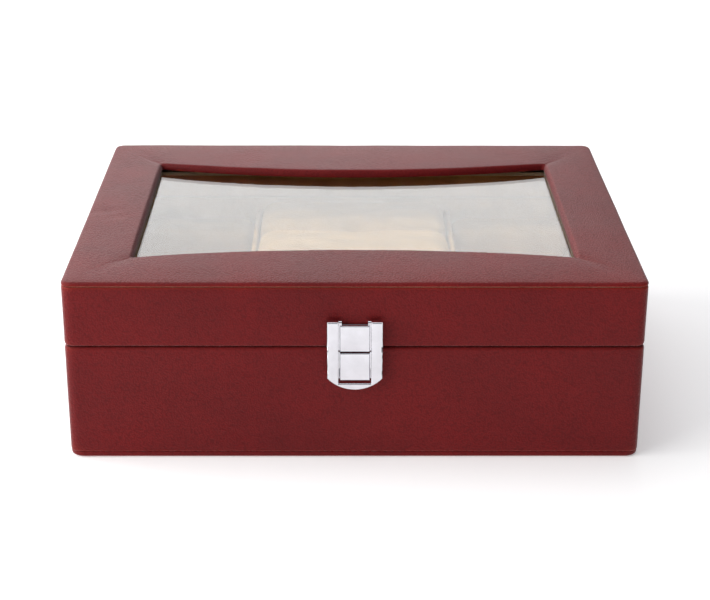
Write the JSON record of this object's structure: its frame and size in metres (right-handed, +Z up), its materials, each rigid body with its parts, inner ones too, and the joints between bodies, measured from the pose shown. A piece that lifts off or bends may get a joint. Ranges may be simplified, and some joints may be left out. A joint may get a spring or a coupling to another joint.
{
  "type": "glasses organizer case",
  "caption": "Leather-covered glasses organizer box: cushioned centre lane between two open lanes, padded lid with a glass window on two hinges, front drop-frame latch.",
  "frame": {"origin": "centre of the underside, where the box rests", "axes": "+Z up, +X to the right seen from the latch side, front with the latch at -Y"},
  "size_m": [0.25, 0.2089, 0.0836],
  "materials": {
    "leather": "fine-grained, satin",
    "foam": "open foam",
    "suede": "short nap",
    "cushion": "short nap",
    "screw": "satin",
    "glass": "polished",
    "seal": "matt",
    "card": "matt",
    "board": "raw fibreboard",
    "hinge": "satin, brass tinted",
    "nickel": "polished"
  },
  "bodies": {
    "base": {"base_bottom_cover": "leather", "base_floor_board": "board", "base_front_board": "board", "base_back_board": "board", "base_left_board": "board", "base_right_board": "board", "base_leather": "leather", "floor_lining": "suede", "base_front_lining": "suede", "base_back_lining": "suede", "base_left_lining": "suede", "base_right_lining": "suede", "divider_left": "suede", "divider_right": "suede", "pillow_1": "cushion", "pillow_2": "cushion", "pillow_3": "cushion", "pillow_4": "cushion", "lane_pad_left": "cushion", "lane_pad_right": "cushion", "bolster_left": "cushion", "bolster_right": "cushion", "hinge_left_base_leaf": "hinge", "hinge_right_base_leaf": "hinge", "hinge_left_pin": "screw", "hinge_right_pin": "screw", "hinge_base_screws": "screw", "latch_base_plate": "nickel", "latch_base_screws": "screw"},
    "lid": {"lid_front_board": "board", "lid_back_board": "board", "lid_left_board": "board", "lid_right_board": "board", "lid_leather": "leather", "lid_top_board": "board", "lid_front_padding": "foam", "lid_back_padding": "foam", "lid_left_padding": "foam", "lid_right_padding": "foam", "lid_top_leather": "leather", "glass_seal": "seal", "window_glass": "glass", "glass_bed": "card", "glass_retainer": "card", "lid_front_lining": "suede", "lid_back_lining": "suede", "lid_left_lining": "suede", "lid_right_lining": "suede", "hinge_left_lid_leaf": "hinge", "hinge_right_lid_leaf": "hinge", "hinge_lid_screws": "screw", "latch_lid_plate": "nickel", "latch_lid_screws": "screw", "latch_pins": "screw"},
    "latch": {"latch_frame": "nickel"}
  },
  "joints": [
    {"name": "lid_hinge", "type": "hinge", "parent": "base", "child": "lid", "pos_m": [0, 0.1022, 0.0524], "axis": [-1, 0, 0], "range_deg": [0, 95]},
    {"name": "latch_swing", "type": "hinge", "parent": "lid", "child": "latch", "pos_m": [0, -0.10205, 0.06475], "axis": [-1, 0, 0], "range_deg": [0, 100]}
  ]
}
